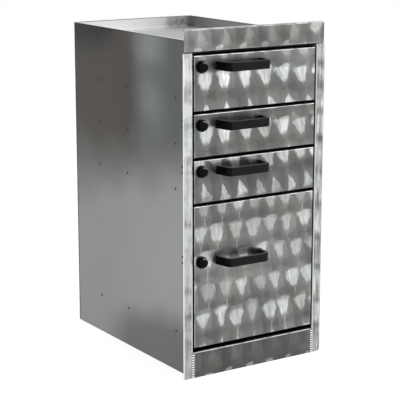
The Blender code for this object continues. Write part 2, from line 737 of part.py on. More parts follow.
def latch_case(drawer, name, latch_height):
    """The lock's body: a block with a barrel through the front, a bore and a slot across for the bolt."""
    half = CASE_SIDE / 2
    shape = bmesh.new()
    add_block(shape, (-half, PANEL_BACK_Y, -half), (half, CASE_BACK_Y, half))
    corners = [e for e in shape.edges if abs(e.verts[0].co.y - e.verts[1].co.y) > CASE_CHAMFER]
    round_edges(shape, corners, CASE_CHAMFER, 1)
    case = add_piece(name, shape, "zinc_steel", drawer, (LATCH_X, 0, latch_height))
    barrel = bmesh.new()
    end = (0, PANEL_BACK_Y + OVERRUN, 0)
    add_rod(barrel, "Y", (0, BARREL_FRONT, 0), end, BARREL_RADIUS, TURNED_SIDES)
    join(case, "barrel", barrel)
    bore = bmesh.new()
    start = (0, BARREL_FRONT - OVERRUN, 0)
    add_rod(bore, "Y", start, (0, BORE_END, 0), BORE_RADIUS, TURNED_SIDES)
    cut(case, "bore", bore)
    stem = bmesh.new()
    end = (0, CASE_BACK_Y - CASE_BACK_WALL, 0)
    add_rod(stem, "Y", (0, BORE_END - OVERRUN, 0), end, STEM_BORE_RADIUS, TURNED_SIDES)
    cut(case, "stem_bore", stem)
    slot = bmesh.new()
    reach = BOLT_THICKNESS / 2 + SEAT_GAP
    rise = BOLT_HEIGHT / 2 + SEAT_GAP
    low = (-half - OVERRUN, BOLT_Y - reach, -rise)
    add_block(slot, low, (KNOB_STEM_RADIUS - SEAT_GAP, BOLT_Y + reach, rise))
    cut(case, "bolt_slot", slot)


def latch_bolt(drawer, name, latch_height):
    """A flat bolt across the back of the case. Its inner end is cut at 45 degrees to meet the stem."""
    half = BOLT_THICKNESS / 2
    slope_end = KNOB_STEM_RADIUS - 2 * SEAT_GAP
    outline = [
        (BOLT_TIP_X, half),
        (BOLT_TIP_X, -half),
        (slope_end - BOLT_THICKNESS, -half),
        (slope_end, half),
    ]
    shape = extruded(outline, "XY", -BOLT_HEIGHT / 2, BOLT_HEIGHT / 2)
    add_piece(name, shape, "bright_steel", drawer, (LATCH_X, BOLT_Y, latch_height))


def carcass(cabinet):
    side_panel(cabinet, "left_side_panel", LEFT)
    side_panel(cabinet, "right_side_panel", RIGHT)
    back_panel(cabinet)
    bottom_panel(cabinet)
    top_rail(cabinet)
    bottom_rail(cabinet)
    top_tray(cabinet)
    weld_bead(cabinet, "left_weld_bead", LEFT)
    weld_bead(cabinet, "right_weld_bead", RIGHT)
    for number, (slide, latch) in enumerate(zip(slide_centres(), latch_centres()), 1):
        slide_channel(cabinet, f"slide_channel_{number}_left", LEFT, slide)
        slide_channel(cabinet, f"slide_channel_{number}_right", RIGHT, slide)
        strike(cabinet, f"strike_{number}", latch)


def drawers(cabinet):
    levels = zip(drawer_spans(), latch_centres(), TRAY_DROPS)
    for number, ((bottom, top), latch, drop) in enumerate(levels, 1):
        drawer = add_empty(f"drawer_{number}", (0, 0, bottom), cabinet)
        height, latch_height = top - bottom, latch - bottom
        drawer_front(drawer, f"drawer_{number}_front", height, latch_height)
        drawer_tray(drawer, f"drawer_{number}_tray", height - drop, latch_height)
        slide_runner(drawer, f"drawer_{number}_left_runner", LEFT)
        slide_runner(drawer, f"drawer_{number}_right_runner", RIGHT)
        bow_handle(drawer, f"drawer_{number}_handle", latch_height)
        latch_ring(drawer, f"latch_{number}_ring", latch_height)
        latch_knob(drawer, f"latch_{number}_knob", latch_height)
        latch_case(drawer, f"latch_{number}_case", latch_height)
        latch_bolt(drawer, f"latch_{number}_bolt", latch_height)


clear_scene()
base = add_empty("cabinet", (0, FRAME_FACE_Y, 0))
carcass(base)
drawers(base)
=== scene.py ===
"""The looks of an aluminium drawer cabinet: plain brushed sheet on its body, an engine-turned front with four
drawers, black bow handles and black push locks. Everything is in metres. The front faces -Y."""

from math import pi, radians

import bmesh
import bpy
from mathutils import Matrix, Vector


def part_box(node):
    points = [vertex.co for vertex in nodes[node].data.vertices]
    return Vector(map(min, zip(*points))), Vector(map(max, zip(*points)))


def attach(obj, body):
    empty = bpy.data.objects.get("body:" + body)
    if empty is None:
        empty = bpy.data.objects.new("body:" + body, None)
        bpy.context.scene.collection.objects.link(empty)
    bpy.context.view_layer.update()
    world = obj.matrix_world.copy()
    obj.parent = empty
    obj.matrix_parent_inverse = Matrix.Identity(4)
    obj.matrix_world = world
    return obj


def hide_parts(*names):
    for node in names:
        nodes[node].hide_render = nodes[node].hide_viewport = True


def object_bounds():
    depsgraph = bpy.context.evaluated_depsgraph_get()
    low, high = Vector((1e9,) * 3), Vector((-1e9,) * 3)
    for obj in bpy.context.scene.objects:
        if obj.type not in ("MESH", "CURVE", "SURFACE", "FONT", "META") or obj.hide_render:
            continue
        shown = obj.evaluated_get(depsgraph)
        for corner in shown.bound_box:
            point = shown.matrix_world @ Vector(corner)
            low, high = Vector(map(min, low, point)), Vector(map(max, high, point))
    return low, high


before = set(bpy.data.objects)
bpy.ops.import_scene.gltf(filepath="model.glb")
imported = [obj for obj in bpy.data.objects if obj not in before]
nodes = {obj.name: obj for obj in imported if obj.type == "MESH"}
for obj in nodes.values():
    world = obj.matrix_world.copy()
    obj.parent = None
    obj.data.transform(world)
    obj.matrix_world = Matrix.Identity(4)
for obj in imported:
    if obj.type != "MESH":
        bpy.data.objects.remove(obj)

cad_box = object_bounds()


# Side panels
# Each is one sheet of two millimetre aluminium: the plain wall and, folded outwards at its front, the stile
# of the front frame. The wall kept its mill grain. The stile was turned with the same disc as the fronts.
SHEET = 0.002
FINE_GRAIN = 0.0002
COARSE_GRAIN = 0.0003
FRONT_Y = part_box("top_rail")[0].y
WALL_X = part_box("back_panel")[1].x
WALL_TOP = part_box("left_side_panel")[1].z
STILE_EDGE_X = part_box("right_side_panel")[1].x


def put(tree, kind, *inputs, **settings):
    """Adds a shader node. Its inputs are linked to outputs or set to values, in order. None leaves one."""
    node = tree.nodes.new("ShaderNode" + kind)
    for name, value in settings.items():
        setattr(node, name, value)
    for socket, value in zip(node.inputs, inputs):
        if isinstance(value, bpy.types.NodeSocket):
            tree.links.new(value, socket)
        elif value is not None:
            socket.default_value = value
    return node


def calc(tree, operation, *values):
    return put(tree, "Math", *values, operation=operation).outputs[0]


def product(tree, value, *factors):
    for factor in factors:
        value = calc(tree, "MULTIPLY", value, factor)
    return value


def scaled(tree, value, factor, offset):
    """A value times a factor, plus an offset."""
    return calc(tree, "MULTIPLY_ADD", value, factor, offset)


def dimmed(tree, light, mask, loss):
    """A light that loses a share where a mask is 1."""
    return product(tree, light, scaled(tree, mask, -loss, 1.0))


def fade(tree, value, start, end):
    """0 at the start and 1 at the end, with a soft step between them. The start may be the higher one."""
    return put(tree, "MapRange", value, start, end, 0.0, 1.0, interpolation_type="SMOOTHSTEP").outputs[0]


def edge_fade(tree, value, edge, start, end):
    """A fade whose start and end lie past an edge by so many thicknesses of the sheet."""
    return fade(tree, value, edge + start * SHEET, edge + end * SHEET)


def hump(tree, value, middle, reach):
    """1 at a middle value, and softly down to 0 a reach away from it on both sides."""
    return fade(tree, calc(tree, "ABSOLUTE", calc(tree, "SUBTRACT", value, middle)), reach, 0.0)


def noise(tree, place, scale, detail=2.0, roughness=0.6):
    return put(tree, "TexNoise", place, None, scale, detail, roughness).outputs[0]


def tint(tree, share, under, over):
    """The colour under, covered with the colour over by a share. They go into the Mix node's last sockets."""
    return put(tree, "Mix", share, *[None] * 5, under, over, data_type="RGBA").outputs[2]


def times(tree, colour, light):
    """A colour multiplied by a light."""
    return put(tree, "VectorMath", colour, None, None, light, operation="SCALE").outputs[0]


def new_group(name, inputs, outputs):
    """A shader node group whose sockets are floats, apart from Place and Stretch, which are vectors."""
    group = bpy.data.node_groups.new(name, "ShaderNodeTree")
    for label in inputs + outputs:
        kind = "NodeSocketVector" if label in ("Place", "Stretch") else "NodeSocketFloat"
        way = "INPUT" if label in inputs else "OUTPUT"
        group.interface.new_socket(label, in_out=way, socket_type=kind)
    return group, group.nodes.new("NodeGroupInput").outputs, group.nodes.new("NodeGroupOutput").inputs


def use_group(tree, group, *inputs):
    return put(tree, "Group", *inputs, node_tree=group).outputs


def new_finish(name, roughness, metallic=1.0):
    """A material with its shader, and the place of the shaded point as a vector and as X, Y and Z."""
    finish = bpy.data.materials.new(name)
    finish.use_nodes = True
    tree = finish.node_tree
    shader = tree.nodes["Principled BSDF"].inputs
    shader["Roughness"].default_value = roughness
    shader["Metallic"].default_value = metallic
    place = put(tree, "TexCoord").outputs["Object"]
    axes = put(tree, "SeparateXYZ", place).outputs
    return finish, tree, shader, place, axes


def bump(tree, shader, height, strength, distance):
    node = put(tree, "Bump", strength, distance)
    tree.links.new(height, node.inputs["Height"])
    tree.links.new(node.outputs[0], shader["Normal"])


def dress(finish, *names):
    """Gives CAD nodes a finish in all their material slots."""
    for name in names:
        for slot in nodes[name].material_slots:
            slot.material = finish


def brushed_grain():
    """Fine drawn lines, along the way that the sheet was rolled or brushed, and a slow cloudiness."""
    group, given, result = new_group("brushed_grain", ["Place", "Stretch"], ["Lines", "Clouds"])
    drawn = put(group, "VectorMath", given["Place"], given["Stretch"], operation="MULTIPLY").outputs[0]
    group.links.new(noise(group, drawn, 1.0, 3.0), result["Lines"])
    group.links.new(noise(group, given["Place"], 7.0, 2.0, 0.5), result["Clouds"])
    return group


def sheet_colour(tree, light, place):
    """The colour of bare aluminium at a given light: a little warm where it is dark and a little cool where
    it shines, with a faint green or warm cast from place to place."""
    cast = noise(tree, place, 9.0, 1.0, 0.5)
    warm = tint(tree, fade(tree, cast, 0.44, 0.60), (1.0, 0.995, 0.955, 1), (0.99, 1.0, 0.99, 1))
    cool = tint(tree, fade(tree, cast, 0.45, 0.60), (1.0, 1.0, 0.995, 1), (0.93, 0.99, 0.975, 1))
    return times(tree, tint(tree, fade(tree, light, 0.15, 0.60), warm, cool), light)


# The wall's light and dark colours are painted reflections of the studio around it.
WALL_REFLECTION_LIGHT_REAR = (0.232, 0.236, 0.232, 1)
WALL_REFLECTION_LIGHT_FRONT = (0.268, 0.272, 0.268, 1)
WALL_REFLECTION_DARK_REAR = (0.062, 0.056, 0.050, 1)
WALL_REFLECTION_DARK_FRONT = (0.096, 0.104, 0.100, 1)
WALL_REFLECTION_DARKEST = (0.020, 0.0195, 0.019, 1)
WALL_REFLECTION_COOL_BAND = (0.200, 0.222, 0.218, 1)
WALL_REFLECTION_DULL = (0.132, 0.131, 0.126, 1)
INNER_SHEET = (0.300, 0.302, 0.298, 1)
TOP_EDGE_HIGHLIGHT = (0.74, 0.75, 0.75, 1)

# Where the wall's painted light and dark begin and end: heights over the floor, and depths behind the front
REFLECTION_WAVER = 0.08
REAR_DEPTHS = (0.20, 0.31)
DARKEST_HEIGHTS = (0.70, 0.80)
DARKEST_DEPTHS = (0.28, 0.42)
BAND_DEPTH, BAND_REACH = 0.182, 0.110
BAND_HEAD = (0.700, 0.752)
BAND_GLOW_HEIGHT, BAND_GLOW_REACH = 0.636, 0.050
BAND_FOOT = (0.50, 0.60)
LOWER_DEPTHS = (0.46, 0.06)
DULL_HEIGHTS = (0.200, 0.110)
DULL_DEPTHS = (0.44, 0.28)
DULL_SLOPE = 0.26
UPPER_FOOT, UPPER_FOOT_SLOPE = 0.590, -0.08
LOWER_HEAD, LOWER_HEAD_SLOPE = 0.420, -0.26


def wall_colour(tree, axes, depth, lines, clouds):
    """Painted reflections: dark in the wall's upper third, one light band near the front, light below. Plain
    inside.
    """
    waver = scaled(tree, clouds, REFLECTION_WAVER, -REFLECTION_WAVER / 2)
    height = calc(tree, "ADD", axes[2], waver)
    reach = calc(tree, "ADD", depth, waver)
    upper = tint(tree, fade(tree, reach, *REAR_DEPTHS), WALL_REFLECTION_DARK_FRONT, WALL_REFLECTION_DARK_REAR)
    darkest = product(tree, fade(tree, height, *DARKEST_HEIGHTS), fade(tree, reach, *DARKEST_DEPTHS))
    upper = tint(tree, darkest, upper, WALL_REFLECTION_DARKEST)
    band = scaled(tree, fade(tree, height, *BAND_HEAD), 0.70, 0.28)
    band = scaled(tree, hump(tree, height, BAND_GLOW_HEIGHT, BAND_GLOW_REACH), 0.36, band)
    band = product(tree, band, hump(tree, reach, BAND_DEPTH, BAND_REACH), fade(tree, height, *BAND_FOOT))
    upper = tint(tree, band, upper, WALL_REFLECTION_COOL_BAND)
    lower = tint(tree, fade(tree, reach, *LOWER_DEPTHS), WALL_REFLECTION_LIGHT_REAR, WALL_REFLECTION_LIGHT_FRONT)
    dull_reflection = fade(tree, scaled(tree, depth, DULL_SLOPE, height), *DULL_HEIGHTS)
    lower = tint(tree, product(tree, dull_reflection, fade(tree, depth, *DULL_DEPTHS)), lower, WALL_REFLECTION_DULL)
    start = scaled(tree, depth, UPPER_FOOT_SLOPE, UPPER_FOOT)
    end = scaled(tree, depth, LOWER_HEAD_SLOPE, LOWER_HEAD)
    wall = tint(tree, fade(tree, height, start, end), upper, lower)
    inside = edge_fade(tree, calc(tree, "ABSOLUTE", axes[0]), WALL_X, -0.4, -0.7)
    wall = tint(tree, inside, wall, INNER_SHEET)
    under_edge = edge_fade(tree, axes[2], WALL_TOP, -2.5, -0.75)
    fine = scaled(tree, lines, 0.16, scaled(tree, under_edge, -0.30, 0.91))
    return times(tree, wall, fine)


STREAKS = (150.0, 0.0, 14.0)
STILE_FOOT, STILE_HEAD = 0.06, 0.72
BAND_TILT = 0.22
GAP_SHADE = 0.94


def stile_light(tree, place, axes, foot, head, bands, fold_light, streak):
    """Lighter towards its head, streaked, and dark in a band wherever one row of spots ends under the next.
    Its folds get a painted highlight, and its edge in the gap beside the drawers is painted dark as shade."""
    streaks = put(tree, "VectorMath", place, STREAKS, operation="MULTIPLY").outputs[0]
    streaks = fade(tree, noise(tree, streaks, 1.0, 3.0), 0.30, 0.70)
    light = put(tree, "MapRange", axes[2], STILE_FOOT, STILE_HEAD, foot, head).outputs[0]
    blots = fade(tree, noise(tree, place, 30.0), 0.34, 0.62)
    light = product(
        tree, light, scaled(tree, streaks, streak, 1.0 - 0.5 * streak), scaled(tree, blots, 0.34, 0.80)
    )
    tilted = scaled(tree, axes[0], BAND_TILT, axes[2])
    for middle, half, loss in bands:
        light = dimmed(tree, light, hump(tree, tilted, middle, half), loss)
    out = calc(tree, "ABSOLUTE", axes[0])
    outer_fold = edge_fade(tree, out, STILE_EDGE_X, -1.2, -0.6)
    inner_fold = edge_fade(tree, out, WALL_X, 1.1, 0.4)
    folds = calc(tree, "MAXIMUM", outer_fold, inner_fold)
    light = calc(tree, "MAXIMUM", light, product(tree, folds, fold_light))
    return dimmed(tree, light, edge_fade(tree, out, WALL_X, -0.2, -0.6), GAP_SHADE)


grain = brushed_grain()


def side_finish(name, foot, head, bands, fold_light, streak):
    """The wall and the stile, which has its light at the foot and head, its bands, its folds' painted
    highlight and how strong its streaks are."""
    finish, tree, shader, place, axes = new_finish(name, 0.34)
    lines, clouds = use_group(tree, grain, place, (26.0, 4.0, 700.0))
    depth = calc(tree, "SUBTRACT", axes[1], FRONT_Y)
    wall = wall_colour(tree, axes, depth, lines, clouds)
    light = stile_light(tree, place, axes, foot, head, bands, fold_light, streak)
    turned = sheet_colour(tree, light, place)
    out = calc(tree, "ABSOLUTE", axes[0])
    on_stile = calc(
        tree, "MAXIMUM", edge_fade(tree, out, WALL_X, 0.05, 0.2), edge_fade(tree, depth, 0, 0.8, 0.4)
    )
    colour = tint(tree, on_stile, wall, turned)
    # a painted highlight along the top edge of the sheet
    top_edge = edge_fade(tree, axes[2], WALL_TOP, -0.4, -0.1)
    tree.links.new(tint(tree, top_edge, colour, TOP_EDGE_HIGHLIGHT), shader["Base Color"])
    tree.links.new(scaled(tree, clouds, 0.16, 0.27), shader["Roughness"])
    bump(tree, shader, lines, 0.10, FINE_GRAIN)
    return finish


# Each band: its middle height, its half height and how much of the light it takes
LEFT_BANDS = [
    (0.640, 0.022, 0.20),
    (0.560, 0.018, 0.12),
    (0.480, 0.020, 0.22),
    (0.332, 0.016, 0.38),
    (0.172, 0.016, 0.40),
    (0.112, 0.015, 0.38),
    (0.048, 0.015, 0.34),
]
RIGHT_BANDS = [
    (0.762, 0.020, 0.48),
    (0.710, 0.018, 0.44),
    (0.648, 0.020, 0.58),
    (0.582, 0.020, 0.62),
    (0.500, 0.016, 0.30),
    (0.418, 0.018, 0.40),
    (0.336, 0.018, 0.44),
    (0.262, 0.016, 0.46),
    (0.176, 0.014, 0.50),
    (0.112, 0.014, 0.42),
]
dress(side_finish("left_side_sheet", 0.350, 0.590, LEFT_BANDS, 0.80, 0.40), "left_side_panel")
dress(side_finish("right_side_sheet", 0.370, 0.430, RIGHT_BANDS, 0.58, 0.95), "right_side_panel")


# Back, bottom and the floor of the recess
# Plain sheets with their rolling grain. The recess has a flat floor, folded up at the back and riveted there,
# and is the lightest sheet, because its shine and glare are painted on it.
BACK_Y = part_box("back_panel")[1].y


def plain_finish(name, colour, stretch, roughness):
    finish, tree, shader, place, _ = new_finish(name, roughness)
    lines, clouds = use_group(tree, grain, place, stretch)
    light = scaled(tree, lines, 0.20, scaled(tree, clouds, 0.40, 0.70))
    tree.links.new(times(tree, colour, light), shader["Base Color"])
    tree.links.new(scaled(tree, clouds, 0.18, roughness - 0.09), shader["Roughness"])
    bump(tree, shader, lines, 0.12, COARSE_GRAIN)
    return finish


dress(plain_finish("back_sheet", (0.30, 0.305, 0.305), (5.0, 5.0, 700.0), 0.36), "back_panel")
dress(plain_finish("bottom_sheet", (0.34, 0.345, 0.345), (5.0, 500.0, 500.0), 0.42), "bottom_panel")

RECESS_FLOOR = (0.385, 0.390, 0.385, 1)
RECESS_FLOOR_LEFT = (0.380, 0.402, 0.368, 1)
RECESS_PAINTED_GLARE = (0.80, 0.80, 0.80, 1)
UPSTAND_PAINTED_SHINE = (1.0, 1.0, 1.0, 1)
UPSTAND_REFLECTION_DARK = (0.22, 0.22, 0.22, 1)
UPSTAND_REFLECTION_DULL = (0.62, 0.62, 0.62, 1)
GAP_PAINTED_SHADE = (0.01, 0.01, 0.01, 1)
# Where each of these changes begins and ends: places along X, and depths in front of the back panel
LEFT_FROM = (-0.020, -0.150)
DULL_FROM = (0.110, 0.140)
DULL_WAVER = 0.050
GLARE_FROM = (0.120, -0.060)
GLARE_DEPTHS = (0.110, 0.010)


def recess_finish():
    """The floor, and the upstand behind it. The upstand's shine is painted on it as near white, and its glare
    is painted over the floor, but near its right end a dull and mottled reflection is painted instead."""
    finish, tree, shader, place, axes = new_finish("recess_sheet", 0.36)
    lines, clouds = use_group(tree, grain, place, (5.0, 600.0, 600.0))
    upstand = edge_fade(tree, axes[1], BACK_Y, -3.75, -2.75)
    mottle = noise(tree, place, 55.0, 3.0)
    right = fade(tree, scaled(tree, mottle, DULL_WAVER, axes[0]), *DULL_FROM)
    dull_reflection = tint(tree, fade(tree, mottle, 0.36, 0.66), UPSTAND_REFLECTION_DARK, UPSTAND_REFLECTION_DULL)
    bright = tint(tree, right, UPSTAND_PAINTED_SHINE, dull_reflection)
    floor = tint(tree, fade(tree, axes[0], *LEFT_FROM), RECESS_FLOOR, RECESS_FLOOR_LEFT)
    glare = fade(tree, axes[1], BACK_Y - GLARE_DEPTHS[0], BACK_Y - GLARE_DEPTHS[1])
    glare = product(tree, glare, fade(tree, axes[0], *GLARE_FROM), 0.50)
    sheet = tint(tree, upstand, tint(tree, glare, floor, RECESS_PAINTED_GLARE), bright)
    # its front edge lies in the dark gap behind the rail, so painted shade covers it
    sheet = tint(tree, edge_fade(tree, axes[1], FRONT_Y, 3.2, 2.8), sheet, GAP_PAINTED_SHADE)
    light = scaled(tree, lines, 0.10, scaled(tree, clouds, 0.14, 0.88))
    tree.links.new(times(tree, sheet, light), shader["Base Color"])
    rough = scaled(tree, upstand, 0.12, scaled(tree, clouds, 0.18, 0.27))
    tree.links.new(rough, shader["Roughness"])
    bump(tree, shader, lines, 0.12, COARSE_GRAIN)
    return finish


dress(recess_finish(), "top_tray")


# Slides, strikes and their rivets
# Bent from zinc plated steel and riveted through the wall. The rivets' heads show outside as dull dots. The
# runners on the drawers are of the same steel.
ZINC_DARK = (0.40, 0.41, 0.43, 1)
ZINC_LIGHT = (0.58, 0.59, 0.58, 1)
RIVET_HEAD = (0.05, 0.05, 0.052, 1)


def zinc_finish(name):
    """Spangled zinc, which is dull and dark outside the walls."""
    finish, tree, shader, place, axes = new_finish(name, 0.36)
    lines, clouds = use_group(tree, grain, place, (200.0, 12.0, 200.0))
    spangle = put(tree, "TexVoronoi", place, None, 260.0).outputs["Color"]
    spots = put(tree, "SeparateColor", spangle).outputs[0]
    share = scaled(tree, spots, 0.5, product(tree, clouds, 0.5))
    outside = edge_fade(tree, calc(tree, "ABSOLUTE", axes[0]), WALL_X, -0.1, 0.1)
    zinc = tint(tree, outside, tint(tree, share, ZINC_DARK, ZINC_LIGHT), RIVET_HEAD)
    tree.links.new(zinc, shader["Base Color"])
    bump(tree, shader, lines, 0.10, COARSE_GRAIN)
    return finish


zinc = zinc_finish("zinc_plate")
plated = [name for name in nodes if name.startswith(("slide_channel", "strike")) or name.endswith("_runner")]
dress(zinc, *plated)


# Rails
# The upper rail is a shallow pan across both stiles, and the lower one stands between them. Both were turned
# with the same disc as the fronts, in rows of overlapping spots, and the lower one is darker.
# How a spot looks. Places and lengths are in metres, most of them from its centre, and widths in radians.
SEED_STEP = 17.31
SECOND_THROW = 0.37
SPOT_WANDER = 0.010
SPOT_RIM = 0.006
BORDER_BEND = 1.2
FAN_WIDTH, FAN_WIDTH_SWING = 0.29, 0.13
FAN_WIDENING = 2.6
FAN_RAGGED = 0.24
FAN_ENDS = (0.064, 0.048)
FAN_END_WANDER = 0.030
CENTRE_SOFT = 0.002
SHARP_TIP, TIP_SWING = -0.004, 0.014
LOWER_TIP = -0.014
TIP_FROM, TIP_TO, TIP_TO_SWING = 0.010, 0.018, 0.010
LOWER_FROM = (0.0, -0.004)
LOWER_SETBACK = 0.002
THIN_LINE = 0.0016
THIN_LINE_FOOT = (-0.040, -0.024)
THIN_LINE_HEAD = (0.016, 0.004)
DARK_PATCH = (0.023, 0.013)
DARK_PATCH_PLACE = 0.42


def blend(tree, share, under, over):
    """A value between two others, by a share."""
    return put(tree, "Mix", share, None, under, over).outputs[0]


def distance(tree, across, up):
    squares = [calc(tree, "POWER", way, 2.0) for way in (across, up)]
    return calc(tree, "SQRT", calc(tree, "ADD", *squares))


def swirl_row():
    """One row of spots, each ground with the flat of a turning disc. Its scratches are arcs, so a painted
    highlight stands for the fan of light on either side of its centre. The fans lean by the slant, and lean
    and spread more the further right they are, by the fanning. A row covers what lies under it, within the
    disc's reach."""
    row, given, result = new_group(
        "swirl_row",
        ["Across", "Up", "Under", "Row height", "First spot", "Pitch", "Reach", "Ground", "Glow", "Line",
         "Slant", "Fanning", "Seed"],
        ["Light"],
    )
    rise = calc(row, "SUBTRACT", given["Up"], given["Row height"])
    from_first = calc(row, "SUBTRACT", given["Across"], given["First spot"])
    # the number of this point's spot, between borders that lean with the fans and bend
    lean = scaled(row, given["Across"], given["Fanning"], given["Slant"])
    bend = product(row, calc(row, "POWER", rise, 2.0), BORDER_BEND)
    leaning = calc(row, "ADD", scaled(row, rise, lean, from_first), bend)
    number = calc(row, "ROUND", calc(row, "DIVIDE", leaning, given["Pitch"]))

    def chances(at):
        colour = put(row, "TexWhiteNoise", None, at, noise_dimensions="1D").outputs["Color"]
        return put(row, "SeparateColor", colour).outputs

    chance_at = scaled(row, given["Seed"], SEED_STEP, number)
    side_chance, rise_chance, width_chance = chances(chance_at)
    blunt_chance, tip_chance, glow_chance = chances(calc(row, "ADD", chance_at, SECOND_THROW))
    # where this point lies from its spot's centre, and how far off the middle of the fan
    aside = calc(row, "SUBTRACT", from_first, product(row, number, given["Pitch"]))
    aside = calc(row, "ADD", aside, scaled(row, side_chance, SPOT_WANDER, -SPOT_WANDER / 2))
    rise = calc(row, "ADD", rise, scaled(row, rise_chance, SPOT_WANDER, -SPOT_WANDER / 2))
    away = distance(row, aside, rise)
    lower = fade(row, rise, *LOWER_FROM)
    turn = calc(row, "ARCTAN2", product(row, aside, -1.0), rise)
    off_axis = calc(row, "WRAP", calc(row, "SUBTRACT", turn, lean), pi / 2, -pi / 2)
    # the painted highlight's fan, with ragged edges and a blunt or a sharp tip
    edge_place = put(row, "CombineXYZ", product(row, away, 70.0), chance_at, off_axis).outputs[0]
    ragged = noise(row, edge_place, 1.0)
    off_edge = calc(
        row, "ADD", calc(row, "ABSOLUTE", off_axis), scaled(row, ragged, FAN_RAGGED, -FAN_RAGGED / 2)
    )
    blunt = scaled(row, blunt_chance, TIP_SWING, SHARP_TIP)
    blunt = blend(row, fade(row, rise, CENTRE_SOFT, -CENTRE_SOFT), blunt, LOWER_TIP)
    blunt = calc(row, "ADD", calc(row, "DIVIDE", blunt, calc(row, "ADD", away, CENTRE_SOFT)), 1.0)
    wider = product(row, calc(row, "MAXIMUM", given["Across"], 0.0), given["Fanning"])
    wider = scaled(row, wider, FAN_WIDENING, 1.0)
    spread = product(row, scaled(row, width_chance, FAN_WIDTH_SWING, FAN_WIDTH), wider, blunt)
    lobe = fade(row, off_edge, product(row, spread, 1.20), product(row, spread, 0.68))
    tip = fade(
        row, scaled(row, lower, -LOWER_SETBACK, away), TIP_FROM, scaled(row, tip_chance, TIP_TO_SWING, TIP_TO)
    )
    far = scaled(row, ragged, FAN_END_WANDER, calc(row, "SUBTRACT", away, FAN_END_WANDER / 2))
    window = product(row, tip, fade(row, far, *FAN_ENDS))
    # rays in it, and a brightness of its own
    ray_place = (product(row, off_axis, 8.0), chance_at, product(row, away, 22.0))
    rays = noise(row, put(row, "CombineXYZ", *ray_place).outputs[0], 1.0)
    rays = scaled(row, fade(row, rays, 0.30, 0.66), 0.46, 0.54)
    fan = product(row, lobe, window, rays, scaled(row, glow_chance, 0.62, 0.38))
    fan = dimmed(row, fan, lower, 0.16)
    # from some tips a thin painted line of light runs down
    line = product(row, hump(row, aside, 0.0, THIN_LINE), fade(row, rise, *THIN_LINE_FOOT))
    line = product(row, line, fade(row, rise, *THIN_LINE_HEAD), given["Line"])
    fan = calc(row, "MAXIMUM", fan, product(row, line, fade(row, blunt_chance, 0.62, 0.74)))
    # the ground is a painted reflection, lighter along the fan's middle and towards the next spot, with a
    # dark patch in some spots
    along = scaled(row, calc(row, "COSINE", product(row, off_axis, 2.0)), 0.5, 0.5)
    ground = product(
        row, given["Ground"], scaled(row, along, 0.26, 0.87), scaled(row, side_chance, 0.26, 0.87)
    )
    patch_aside = calc(row, "SUBTRACT", aside, product(row, given["Pitch"], DARK_PATCH_PLACE))
    patch = fade(row, distance(row, patch_aside, product(row, rise, 1.5)), *DARK_PATCH)
    ground = dimmed(row, ground, product(row, patch, tip_chance), 0.26)
    ground = product(row, ground, scaled(row, calc(row, "DIVIDE", aside, given["Pitch"]), 0.16, 1.0))
    light = calc(row, "ADD", ground, product(row, fan, given["Glow"]))
    # the disc's rim
    nearest = calc(row, "ROUND", calc(row, "DIVIDE", from_first, given["Pitch"]))
    rim_aside = calc(row, "SUBTRACT", from_first, product(row, nearest, given["Pitch"]))
    rim = distance(row, rim_aside, rise)
    inside = fade(row, rim, given["Reach"], calc(row, "SUBTRACT", given["Reach"], SPOT_RIM))
    row.links.new(blend(row, inside, given["Under"], light), result["Light"])
    return row


spot_row = swirl_row()
ROW_WAVER = 0.014


def swirled(tree, place, axes, rows, under, line, slant):
    """Lays rows of spots over each other, from the first to the last, and returns their light. The disc was
    led by hand, so the rows waver a little. The line is the light of the thin lines under the tips. The slant
    is how far the fans lean to the left, and how much further they lean a metre further right."""
    waver = put(tree, "TexNoise", place, None, 24.0, 2.0, 0.6).outputs["Color"]
    waver = put(tree, "SeparateColor", waver).outputs
    across = calc(tree, "ADD", axes[0], scaled(tree, waver[0], ROW_WAVER, -ROW_WAVER / 2))
    up = calc(tree, "ADD", axes[2], scaled(tree, waver[1], ROW_WAVER, -ROW_WAVER / 2))
    light = under
    for seed, row in enumerate(rows, 1):
        light = use_group(tree, spot_row, across, up, light, *row, line, *slant, float(seed))[0]
    return light


FOLD_GLINT = 0.66
LIFT_FROM = (-0.08, -0.18)


def swirled_finish(name, node, rows, under, glints, line=0.0, slant=(0.24, 0.60), lift=0.0, shade=None):
    """Turned sheet. Its folds get painted glints by the given shares: along its upper, left and lower edges.
    The lift makes its left end lighter, and the shade is a function that paints shade on parts of it."""
    roughness = 0.30
    finish, tree, shader, place, axes = new_finish(name, roughness)
    lines, clouds = use_group(tree, grain, place, (500.0, 500.0, 40.0))
    patches = fade(tree, noise(tree, place, 16.0, 1.0, 0.5), 0.3, 0.7)
    light = product(
        tree,
        swirled(tree, place, axes, rows, under, line, slant),
        scaled(tree, lines, 0.16, 0.92),
        scaled(tree, fade(tree, axes[0], *LIFT_FROM), lift, 1.0),
        scaled(tree, patches, 0.30, 0.85),
    )
    low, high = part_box(node)
    edges = (
        edge_fade(tree, axes[2], high.z, -1.6, -0.9),
        edge_fade(tree, axes[0], low.x, 1.8, 1.0),
        hump(tree, axes[2], low.z + 2.1 * SHEET, 0.8 * SHEET),
    )
    # the painted lines of light are broken here and there
    breaks = scaled(tree, fade(tree, noise(tree, place, 38.0), 0.36, 0.60), 0.56, 0.50)
    for edge, share in zip(edges, glints):
        light = calc(tree, "MAXIMUM", light, product(tree, edge, FOLD_GLINT * share, breaks))
    if shade:
        light = shade(tree, light, axes, low, high)
    tree.links.new(sheet_colour(tree, light, place), shader["Base Color"])
    tree.links.new(scaled(tree, clouds, 0.12, roughness - 0.06), shader["Roughness"])
    bump(tree, shader, lines, 0.06, FINE_GRAIN)
    return finish


FIRST_BLOCK = -0.122
BLOCK_PITCH = 0.066
BLOCK_SIDES = (0.026, 0.015)
BLOCK_HEIGHT, BLOCK_REACH = 0.792, 0.026


